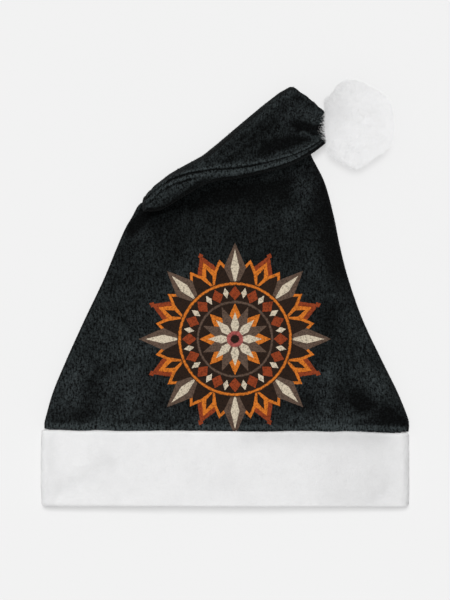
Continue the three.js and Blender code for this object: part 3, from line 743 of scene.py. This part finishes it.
# %% The pompom's outline
def ball_waves(way, wavelength, seed, count=24):
    """A smooth random field on directions: plane waves in space, the wavelength given as a share of the
    radius."""
    chance = np.random.default_rng(seed)
    axis = unit(chance.normal(size=(count, 3)))
    axis *= 2 * np.pi / wavelength * chance.uniform(0.8, 1.3, (count, 1))
    phase = chance.uniform(0, 2 * np.pi, count)
    return np.cos(way @ axis.T + phase).sum(axis=-1) / np.sqrt(count) * 0.8


def out_at(outline, degrees):
    """How far an outline of directions and reaches stands out at these degrees."""
    return np.interp(degrees, outline[:, 0], outline[:, 1], period=360)


FIRST_WAVES = 4
reach_rows = np.vstack([POMPOM_REACH[-1] - [360, 0], POMPOM_REACH, POMPOM_REACH[:2] + [360, 0]])
sharp_outline = through(reach_rows, np.linspace(1, len(reach_rows) - 2, 720))
round_the_clock = np.arange(0, 360, 5)
seen = out_at(sharp_outline, round_the_clock)
waves_round = np.fft.rfft(seen)
waves_round[FIRST_WAVES:] = 0
blunt_outline = np.stack([round_the_clock, np.fft.irfft(waves_round, seen.size)], axis=-1)
print("the blunt outline is at most %.1f mm off the sharp one" % abs(blunt_outline[:, 1] - seen).max())


# %% The ball as one closed mesh
def pompom_place(way, share):
    """The place in a direction at a share of the full radius. In plan the full radius comes from the table
    near the ball's waist and from its first waves round above and below, and upwards it is half the height.
    What would sink into the table is laid on it."""
    degrees = np.degrees(np.arctan2(way[..., 1], way[..., 0])) % 360
    sharp = out_at(sharp_outline, degrees)
    blunt = out_at(blunt_outline, degrees)
    plan = (sharp + (blunt - sharp) * ease(abs(way[..., 2]), 0.1, 0.7)) * MM
    scale = np.stack([plan, plan, np.full_like(plan, POMPOM_HEIGHT / 2)], axis=-1)
    place = POMPOM_MIDDLE + way * scale * share[..., None]
    place[..., 2] = np.maximum(place[..., 2], OFF_TABLE)
    return place


BALL_RINGS, BALL_COLUMNS = 72, 144
polar = np.linspace(0, np.pi, BALL_RINGS + 2)[1:-1, None]
round_angle = np.linspace(0, 2 * np.pi, BALL_COLUMNS, endpoint=False)[None, :]
ball_way = np.stack([
    np.sin(polar) * np.cos(round_angle), np.sin(polar) * np.sin(round_angle), np.cos(polar) + 0 * round_angle,
], axis=-1)
ball_share = BALL_SHARE + 0.010 * ball_waves(ball_way, 0.55, 21) + 0.008 * ball_waves(ball_way, 0.22, 22)
ball_grid = pompom_place(ball_way, ball_share)
top, bottom = (pompom_place(np.array([0, 0, z]), np.array(BALL_SHARE)) for z in (1.0, -1.0))
ball_points = np.vstack([ball_grid.reshape(-1, 3), top[None], bottom[None]])
column = np.arange(BALL_COLUMNS)
last = (BALL_RINGS - 1) * BALL_COLUMNS
ball_faces = ring_faces(*ball_grid.shape[:2]).tolist()
for pole, one, other in (
    (len(ball_points) - 2, column, np.roll(column, -1)),
    (len(ball_points) - 1, last + np.roll(column, -1), last + column),
):
    ball_faces += np.stack([np.full(BALL_COLUMNS, pole), one, other], axis=-1).tolist()
pompom = make_mesh("pompom_ball", ball_points, ball_faces)

# %% [markdown]
# Fibres
#
# Plush and fleece are looked at through their fibre ends: they soften the outline and break up the light.
# Hair curves could make them, but only meshes can be handed on as a model, so each fibre is a thin closed
# spike of four faces. They are spread over a surface evenly by its area, and lean together in patches, as
# real pile does.

# %% Spikes spread over a surface
FINE, COARSE = 0.3 * MM, 0.7 * MM
FIBRE_POINTS = 4
FIBRE_OFF_TABLE = 0.05 * MM


def scatter(grid, count, seed, weight=None):
    """Random places on a grid surface with their outward directions. Cells are drawn by their area times
    weight, and a place in the cell by two random shares between its corners."""
    chance = np.random.default_rng(seed)
    here, there = grid[:-1], grid[1:]
    a, b, c, d = here, np.roll(here, -1, axis=1), there, np.roll(there, -1, axis=1)
    outward = np.cross(c - a, b - a)
    size = np.linalg.norm(outward, axis=-1)
    odds = (size if weight is None else size * weight[:-1]).reshape(-1)
    cell = chance.choice(odds.size, count, p=odds / odds.sum())
    s, t = chance.uniform(size=(2, count, 1))
    a, b, c, d, outward = (part.reshape(-1, 3)[cell] for part in (a, b, c, d, outward))
    places = (a * (1 - s) + b * s) * (1 - t) + (c * (1 - s) + d * s) * t
    return places, unit(outward)


def spikes(name, roots, tips, width, outward):
    """Thin fibres: three corners in a circle of that width round each root, at right angles to the fibre,
    and its tip, with a face on each side and one below. They take the light as the surface does that they
    grow on, as real pile does, whose light goes from fibre to fibre."""
    way = unit(tips - roots)
    helper = np.where(np.abs(way[:, 2:]) < 0.7, [[0.0, 0.0, 1.0]], [[1.0, 0.0, 0.0]])
    side = unit(np.cross(helper, way))
    other = np.cross(way, side)
    turn = np.arange(3) * 2 * np.pi / 3
    base = roots[:, None] + (width / 2) * (
        np.cos(turn)[None, :, None] * side[:, None] + np.sin(turn)[None, :, None] * other[:, None])
    points = np.concatenate([base, tips[:, None]], axis=1).reshape(-1, 3)
    points[:, 2] = np.maximum(points[:, 2], FIBRE_OFF_TABLE)
    corners = np.array([(0, 2, 1), (0, 1, 3), (1, 2, 3), (2, 0, 3)])
    faces = (np.arange(len(roots))[:, None, None] * FIBRE_POINTS + corners).reshape(-1, 3)
    piece = make_mesh(name, points, faces.tolist())
    piece.data.normals_split_custom_set_from_vertices(np.repeat(outward, FIBRE_POINTS, axis=0))
    return piece


def short_pile(name, grid, count, lean, patch, depth, seed, weight=None):
    """Pile of 0.5 to 1.1 mm on a grid surface, rooted at depth. Its fibres point outward, plus lean times a
    random direction of each fibre's own and one that it shares with its patch. Returns the piece and its
    places."""
    places, outward = scatter(grid, count, seed, weight)
    chance = np.random.default_rng(seed + 1)
    own = chance.normal(size=places.shape)
    x, y = places[:, 0], places[:, 1] + places[:, 2]
    shared = np.stack([soft_waves(x, y, patch, seed + 1 + k) for k in (1, 2, 3)], axis=-1)
    way = unit(outward + lean * (0.45 * own + shared))
    long = chance.uniform(0.5, 1.1, (len(places), 1)) * MM
    return spikes(name, places - depth * outward, places + way * long, FINE, outward), places


# %% Fibres of the cuff
CUFF_FIBRES = 42000
cuff_outside = cuff_grid[:FACE_ROWS + RIM_ROWS]
upward = 0.25 + 0.75 * ease(cuff_outside[..., 2], 2 * MM, 9 * MM)
cuff_pile, places = short_pile("cuff_pile", cuff_outside, CUFF_FIBRES, 0.8, 7 * MM, 0.3 * MM, 31, upward)
# the cuff and its fibres get the same painted light and shade
for piece, spots in ((cuff, cuff_grid), (cuff_pile, np.repeat(places, FIBRE_POINTS, axis=0))):
    paint(piece, "painted_light_and_tone", painted_light_at(CUFF_PAINTED_LIGHT, spots))

# %% Fibres of the pompom
POMPOM_FIBRES = 46000


def all_round(count):
    """Directions spread evenly round a ball: the heights go down in equal steps, and each direction is
    turned on from the last by pi times 3 less the root of 5."""
    number = np.arange(count) + 0.5
    high = 1 - 2 * number / count
    angle = number * np.pi * (3 - np.sqrt(5))
    flat = np.sqrt(1 - high**2)
    return np.stack([flat * np.cos(angle), flat * np.sin(angle), high], axis=-1)


def facing_up(ends):
    """Where fibres in these directions face for the light: a share of their own direction and more of up."""
    return 0.26 * ends + [0, 0, 0.6]


ends = all_round(POMPOM_FIBRES)
chance = np.random.default_rng(41)
clump = np.stack([ball_waves(ends, 0.34, 42 + k) for k in range(3)], axis=-1)
aim = unit(ends + 0.06 * clump + 0.045 * chance.normal(size=ends.shape))
far = 0.97 + 0.024 * ball_waves(ends, 0.4, 46) + 0.022 * chance.normal(size=len(ends))
roots = pompom_place(ends, np.full(len(ends), ROOT_SHARE))
facing = facing_up(ends) + 0.09 * clump + 0.11 * chance.normal(size=ends.shape)
pompom_pile = spikes("pompom_pile", roots, pompom_place(aim, far), COARSE, facing)
# the fibres get random tone on the flanks and the painted shade, the ball only the painted shade
flank_tone = 0.3 * (1 - ease(ends[:, 2], 0.1, 0.8)) * chance.normal(size=len(ends))
paint(pompom_pile, "painted_light_and_tone", np.repeat(flank_tone + painted_light_at(POMPOM_PAINTED_SHADE, roots), FIBRE_POINTS))
paint(pompom, "painted_light_and_tone", painted_light_at(POMPOM_PAINTED_SHADE, ball_points))

# %% Wisps of the pompom, longer where they lie over the fleece
WISPS = 12000
TOWARDS_FLEECE = [-0.94, -0.1, 0.34]
ends = unit(chance.normal(size=(WISPS, 3)))
aim = unit(ends + 0.16 * chance.normal(size=ends.shape))
over_the_fleece = ease(aim @ TOWARDS_FLEECE, 0.9, 0.99)
far = 0.98 + 0.09 * chance.uniform(size=WISPS) ** 2
far += 0.26 * over_the_fleece * chance.uniform(size=WISPS) ** 2.5
roots = pompom_place(ends, np.full(WISPS, WISP_ROOT_SHARE))
pompom_wisps = spikes("pompom_wisps", roots, pompom_place(aim, far), FINE, facing_up(ends))
# the wisps get the painted shade too
paint(pompom_wisps, "painted_light_and_tone", np.repeat(painted_light_at(POMPOM_PAINTED_SHADE, roots), FIBRE_POINTS))

# %% Fibres of the crown
CROWN_FIBRES = 26000
crown_pile, _ = short_pile("crown_pile", outer, CROWN_FIBRES, 0.9, 5 * MM, 0.2 * MM, 51)

# %% [markdown]
# Materials as expressions
#
# A material is a small sum over the surface: noise times a depth, a mask between two colours. Here it is
# written that way. A Wire holds one number coming out of a node, and Python's operators on it add the Math
# nodes.

# %% A class for shader maths
class Wire:
    """One output of a node. The operators +, -, * and / add Math nodes."""

    def __init__(self, finish, socket):
        self.finish = finish
        self.socket = socket

    def math(self, operation, *others, first=None):
        """A Math node whose first number is this one, unless another comes first."""
        values = {i: value for i, value in enumerate([self if first is None else first, *others])}
        return self.finish.add("ShaderNodeMath", {"operation": operation}, values)

    def __add__(self, other):
        return self.math("ADD", other)

    def __sub__(self, other):
        return self.math("SUBTRACT", other)

    def __rsub__(self, other):
        return self.math("SUBTRACT", self, first=other)

    def __mul__(self, other):
        return self.math("MULTIPLY", other)

    def __truediv__(self, other):
        return self.math("DIVIDE", other)

    __radd__ = __add__
    __rmul__ = __mul__

    def clamped(self):
        """The number, kept from 0 to 1."""
        return self.math("MAXIMUM", 0).math("MINIMUM", 1)

    def below(self, edge, soft):
        """1 where the number is under edge and 0 over it, with a slope soft wide between."""
        return ((edge - self) / soft + 0.5).clamped()


print("a Wire has", ", ".join(name for name in vars(Wire) if name[0] != "_"), "and the four operators")


# %% A class for materials
class Finish:
    """A material with one Principled shader. add() makes any node in it."""

    def __init__(self, name, **constants):
        self.material = bpy.data.materials.new(name)
        self.material.use_nodes = True
        self.nodes = self.material.node_tree.nodes
        self.shader = next(node for node in self.nodes if node.type == "BSDF_PRINCIPLED")
        for socket, value in constants.items():
            self.shader.inputs[socket.replace("_", " ")].default_value = value

    def plug(self, socket, value):
        """Links a Wire to a socket, or sets a plain value on it."""
        if isinstance(value, Wire):
            self.material.node_tree.links.new(value.socket, socket)
        else:
            socket.default_value = value

    def add(self, kind, settings=None, inputs=None, output=0):
        """A node of that kind, its settings made first and then its inputs. Returns one of its outputs."""
        node = self.nodes.new(kind)
        for name, value in (settings or {}).items():
            setattr(node, name, value)
        for name, value in (inputs or {}).items():
            self.plug(node.inputs[name], value)
        return Wire(self, node.outputs[output])

    def place(self):
        """The point that is being coloured, in metres."""
        return self.add("ShaderNodeTexCoord", output="Object")

    def painted(self, name):
        """The number that was painted on the piece under this name."""
        return self.add("ShaderNodeAttribute", {"attribute_name": name}, output="Fac")

    def noise(self, place, size, detail=2.0, roughness=0.5):
        """Noise whose lumps are about size metres across."""
        values = {"Vector": place, "Scale": 1 / size, "Detail": detail, "Roughness": roughness}
        return self.add("ShaderNodeTexNoise", {}, values, "Fac")

    def mix(self, share, start, end):
        """A colour between start and end."""
        return self.add("ShaderNodeMix", {"data_type": "RGBA"}, {0: share, 6: start, 7: end}, 2)

    def bump(self, height, distance, strength=1.0):
        """The surface's direction where height, 0 to 1, stands for distance metres."""
        return self.add("ShaderNodeBump", {}, {"Height": height, "Distance": distance, "Strength": strength})

    def give(self, socket, value):
        """Sets or links one input of the material's shader."""
        self.plug(self.shader.inputs[socket], value)


print("a Finish has", ", ".join(name for name in vars(Finish) if name[0] != "_"))

# %% [markdown]
# Black fleece
#
# Polar fleece is brushed until its fibres stand up and clump into grains of a millimetre or two, some of
# them drawn out along the pile. So it is matt, with a faint sheen where the pile is seen from the side, and
# it is never quite black: the grains catch the light. Painted light and shade, given to the crown's points,
# make it lighter or darker over its folds.

# %% The fleece's nodes
PILE_LEVEL, PAINTED_LIGHT_GAIN, DARKEST = 0.173, 0.247, 0.02
DEEP_BLACK = (0.002, 0.0022, 0.0022, 1)
LIT_BLACK = (0.0455, 0.0560, 0.0580, 1)
LONG_GRAIN = (1, 0.35, 1)
fleece = Finish(
    "black_fleece", Roughness=0.95, Sheen_Weight=0.03, Sheen_Roughness=0.5, Specular_IOR_Level=0.05)
place = fleece.place()
grain = fleece.noise(place, 1.4 * MM, 2, 0.6)
along_the_pile = fleece.add("ShaderNodeMapping", {}, {"Vector": place, "Scale": LONG_GRAIN})
streaks = fleece.noise(along_the_pile, 1.3 * MM, 2, 0.6)
patches = fleece.noise(place, 22 * MM, 1, 0.5)
brushed = fleece.noise(place, 6 * MM, 1, 0.5)
stitches = fleece.painted("stitched")
# the crown's painted light and shade, scaled and added to the pile's random tone
painted_light = fleece.painted("painted_light_and_tone")
level = (patches - 0.5) * 0.16 + (brushed - 0.5) * 0.16 + painted_light * PAINTED_LIGHT_GAIN + PILE_LEVEL
level = level.math("MAXIMUM", DARKEST)
fibres = (grain - 0.5) * 3.4 + (streaks - 0.5) * 5.2
light = (level * (fibres + 1) + (grain - 0.5) * 0.4 - stitches * 0.27).clamped()
cloth_colour = fleece.mix(light, DEEP_BLACK, LIT_BLACK)
print("nodes in the fleece so far:", len(fleece.nodes))

# %% [markdown]
# The print
#
# On its front the crown carries a print, about 150 mm across. This one is a plain winter rosette of stars,
# diamonds and leaves in orange, rust, cream and brown. It is drawn by formulas: how far a point is from the
# middle, and how far round, folded so that one leaf stands for all of them. The attribute keeps it off the
# back and the lining.

# %% How far out and how far round a point of the print is
PRINT_MIDDLE = (8 * MM, -36 * MM)
PRINT_RADIUS = 77 * MM
x_part = fleece.add("ShaderNodeSeparateXYZ", {}, {"Vector": place}, "X")
y_part = Wire(fleece, x_part.socket.node.outputs["Y"])
ragged = (fleece.noise(place, 2.2 * MM, 2, 0.6) - 0.5) * 0.02
u = (x_part - PRINT_MIDDLE[0]) / PRINT_RADIUS
v = (y_part - PRINT_MIDDLE[1]) / PRINT_RADIUS
far = (u * u + v * v).math("SQRT") + ragged
angle = v.math("ARCTAN2", u)
print("the print's middle, in mm:", [round(c / MM) for c in PRINT_MIDDLE])


# %% Shapes and layers of the print
def folded(count, offset=0.0):
    """How far round from the nearest of count spokes, in radians."""
    step = 2 * np.pi / count
    return ((angle / step + offset).math("FRACT") - 0.5).math("ABSOLUTE") * step


def leaf(count, offset, inner, outer, width):
    """Kite-shaped leaves on spokes: their width grows from nothing to its full value and shrinks again."""
    aside = folded(count, offset).math("SINE") * far
    middle, half = (inner + outer) / 2, (outer - inner) / 2
    return ((far - middle).math("ABSOLUTE") / half + aside / width).below(1, 0.03)


CREAM = (0.72, 0.62, 0.47, 1)
ORANGE = (0.72, 0.20, 0.025, 1)
RUST = (0.30, 0.055, 0.018, 1)
TAUPE = (0.13, 0.085, 0.062, 1)
BROWN = (0.028, 0.016, 0.011, 1)
ROSE = (0.42, 0.10, 0.09, 1)
layers = [
    (leaf(16, 0.5, 0.30, 0.94, 0.20), RUST),
    (leaf(16, 0.0, 0.30, 0.84, 0.19), ORANGE),
    (leaf(16, 0.0, 0.30, 0.79, 0.17), BROWN),
    (leaf(8, 0.5, 0.50, 1.0, 0.115), TAUPE),
    (leaf(8, 0.5, 0.56, 0.93, 0.045), CREAM),
    (leaf(8, 0.0, 0.56, 0.86, 0.085), ORANGE),
    (leaf(8, 0.0, 0.60, 0.79, 0.035), BROWN),
    (far.below(0.60, 0.012), BROWN),
    ((far - 0.575).math("ABSOLUTE").below(0.012, 0.01), ORANGE),
    (leaf(16, 0.5, 0.40, 0.55, 0.062), RUST),
    (leaf(16, 0.0, 0.43, 0.54, 0.030), CREAM),
    ((far - 0.385).math("ABSOLUTE").below(0.010, 0.01), TAUPE),
    (leaf(8, 0.5, -0.05, 0.37, 0.105), ORANGE),
    (leaf(8, 0.0, -0.05, 0.36, 0.075), TAUPE),
    (leaf(8, 0.5, 0.02, 0.28, 0.045), CREAM),
    (far.below(0.085, 0.01), ROSE),
    (far.below(0.045, 0.01), BROWN),
    (leaf(8, 0.0, 0.895, 0.965, 0.030), RUST),
]
print("layers in the print:", len(layers))

# %% The layers over each other, on the fleece
DUSTY_BLACK = (0.006, 0.006, 0.006, 1)
printable = fleece.painted("printable")
ink = None
print_colour = BROWN
for mask, colour in layers:
    print_colour = fleece.mix(mask, print_colour, colour)
    ink = mask if ink is None else ink.math("MAXIMUM", mask)
worn = ((grain - 0.36) * 6).clamped()
dimmed = fleece.mix(worn * 0.45 + 0.55, DUSTY_BLACK, print_colour)
fleece.give("Base Color", fleece.mix(ink * printable, cloth_colour, dimmed))
pile_height = grain * 0.75 + brushed * 0.5
fleece.give("Normal", fleece.bump(pile_height, 1.3 * MM))
print("nodes in the fleece:", len(fleece.nodes))

# %% [markdown]
# White plush
#
# The cuff and the pompom are the same white plush, denser and longer than the fleece. White pile shows its
# shape only by soft shade between the tufts, so its colour varies little and its bump does the work. Painted
# light and shade, given to the pieces' points, make it a little darker or lighter in places.

# %% The plush's nodes
def plush(name, size, depth, dark, bright, level, **constants):
    """White pile with tufts of that size in metres, between two greys. level says how near it is to the
    brighter one where no light or shade is painted on."""
    finish = Finish(name, Roughness=0.9, Specular_IOR_Level=0.1, **constants)
    spot = finish.place()
    tufts = finish.noise(spot, size, 3, 0.6)
    broad = finish.noise(spot, 14 * MM, 2, 0.5)
    # painted light and shade of the piece, with random tone on the pompom's flanks
    painted_shading = finish.painted("painted_light_and_tone")
    shade = ((tufts - 0.5) * 0.16 + (broad - 0.5) * 0.14 + painted_shading * 0.5 + level).clamped()
    finish.give("Base Color", finish.mix(shade, (dark, dark, dark, 1), (bright, bright, bright * 1.003, 1)))
    finish.give("Normal", finish.bump(tufts, depth))
    return finish.material


soft = {"Subsurface_Weight": 0.6, "Subsurface_Scale": 2 * MM, "Subsurface_Radius": (1, 1, 1)}
CUFF_GREYS = (0.50, 0.92, 0.87)
POMPOM_GREYS = (0.60, 0.985, 0.9)
cuff_finish = plush("white_plush", 1.6 * MM, 0.15 * MM, *CUFF_GREYS, **soft)
cuff_fibres = plush("cuff_fibres", 3.0 * MM, 0.1 * MM, *CUFF_GREYS)
pompom_finish = plush("white_pompom", 2.6 * MM, 0.5 * MM, *POMPOM_GREYS, **soft)
pompom_fibres = plush("pompom_fibres", 3.0 * MM, 0.1 * MM, *POMPOM_GREYS)
print("materials:", [material.name for material in bpy.data.materials])

# %% [markdown]
# Pieces, and what they stand for
#
# Each piece rides on the frame's one body and takes the place of its solid.

# %% Tell the frame about each piece
for piece, material, slot_name in (
    (crown, fleece.material, "black_fleece"),
    (crown_pile, fleece.material, "black_fleece"),
    (cuff, cuff_finish, "white_plush"),
    (cuff_pile, cuff_fibres, "white_plush"),
    (pompom, pompom_finish, "white_plush"),
    (pompom_pile, pompom_fibres, "white_plush"),
    (pompom_wisps, pompom_fibres, "white_plush"),
):
    piece.data.materials.append(material)
    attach(piece, "root")
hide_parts("crown")
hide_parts("cuff")
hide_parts("pompom")
# The crown is cut as a fan, so its area is a good deal less than that of the rectangle round it.
print("three cloth pieces, each in place of its solid, and four of fibres")

# %% [markdown]
# Table, light and camera
#
# The hat lies on a pale table that glows a little, which hides most of its shadow. By light linking the
# crown, the cuff, the pompom and the table each have a lamp of their own. Black fleece needs slanting light
# from its tip's side to show its folds. White pile fills its own shade, because light goes from fibre to
# fibre, so the lamps of the two white pieces are broader and steeper. In these two and the table's only the
# solid pieces throw shadows, as single fibres would make them grainy. The camera looks straight down from
# far away, so that the picture is nearly a plan: 360 by 480 mm.

# %% The table
TABLE_HALF = 4
TABLE_GLOW = 0.52
TABLE_GREYS = ((0.198, 0.198, 0.198, 1), (0.204, 0.204, 0.204, 1))
table_corners = TABLE_HALF * np.array([(-1, -1, 0), (1, -1, 0), (1, 1, 0), (-1, 1, 0)])
table = make_mesh("table", table_corners, [(0, 1, 2, 3)])
table_finish = Finish(
    "lit_table", Roughness=0.9, Specular_IOR_Level=0.0,
    Emission_Color=(1, 1, 1, 1), Emission_Strength=TABLE_GLOW)
faint = table_finish.noise(table_finish.place(), 0.4, 2, 0.5)
table_finish.give("Base Color", table_finish.mix(faint, *TABLE_GREYS))
table.data.materials.append(table_finish.material)

# %% Light from all round, and the four lamps
ROOM_LIGHT = 0.45
world = bpy.data.worlds.new("studio")
world.use_nodes = True
bpy.context.scene.world = world
background = world.node_tree.nodes["Background"].inputs
background["Color"].default_value = (1, 1, 1, 1)
background["Strength"].default_value = ROOM_LIGHT


def sunlight(name, energy, angle, direction, lit, shading=None):
    """A distant lamp that is angle degrees wide and shines from a direction. It lights only the pieces in
    lit, and where shading is given only the pieces in that throw a shadow in it."""
    lamp = bpy.data.lights.new(name, "SUN")
    lamp.energy = energy
    lamp.angle = np.radians(angle)
    light = put(name, lamp)
    light.rotation_euler = Vector(direction).to_track_quat("Z", "Y").to_euler()
    for kind, members in (("receiver", lit), ("blocker", shading)):
        if members:
            group = bpy.data.collections.new(name + "_" + kind)
            for piece in members:
                group.objects.link(piece)
            setattr(light.light_linking, kind + "_collection", group)


solid_pieces = (crown, cuff, pompom)
sunlight("window", 1.8, 45, (-0.22, 0.48, 0.85), (crown, crown_pile))
sunlight("cuff_card", 1.75, 110, (-0.26, 0.20, 0.94), (cuff, cuff_pile), solid_pieces)
sunlight("pompom_card", 2.2, 110, (0.16, -0.05, 0.98), (pompom, pompom_pile, pompom_wisps), solid_pieces)
sunlight("table_card", 4.42, 20, (-0.02, 0.2, 0.97), (table,), solid_pieces)

print("lamps:", len(bpy.data.lights))

# %% The camera
PICTURE_HEIGHT = 480 * MM
SENSOR = 36
DISTANCE = 3.0
PLAN_HEIGHT = 10 * MM
MIDDLE_Y = -4.8 * MM
lens = bpy.data.cameras.new("from_above")
lens.sensor_fit = "VERTICAL"
lens.sensor_height = SENSOR
lens.lens = SENSOR * DISTANCE / PICTURE_HEIGHT
lens.clip_end = 50
camera = put("from_above", lens)
camera.location = (0, MIDDLE_Y, DISTANCE + PLAN_HEIGHT)
bpy.context.scene.camera = camera
bpy.context.scene.view_settings.view_transform = "Standard"
print("the camera's lens: %.0f" % lens.lens)

# %% [markdown]
# Its size
#
# The dressed hat must stay as large as its frame.
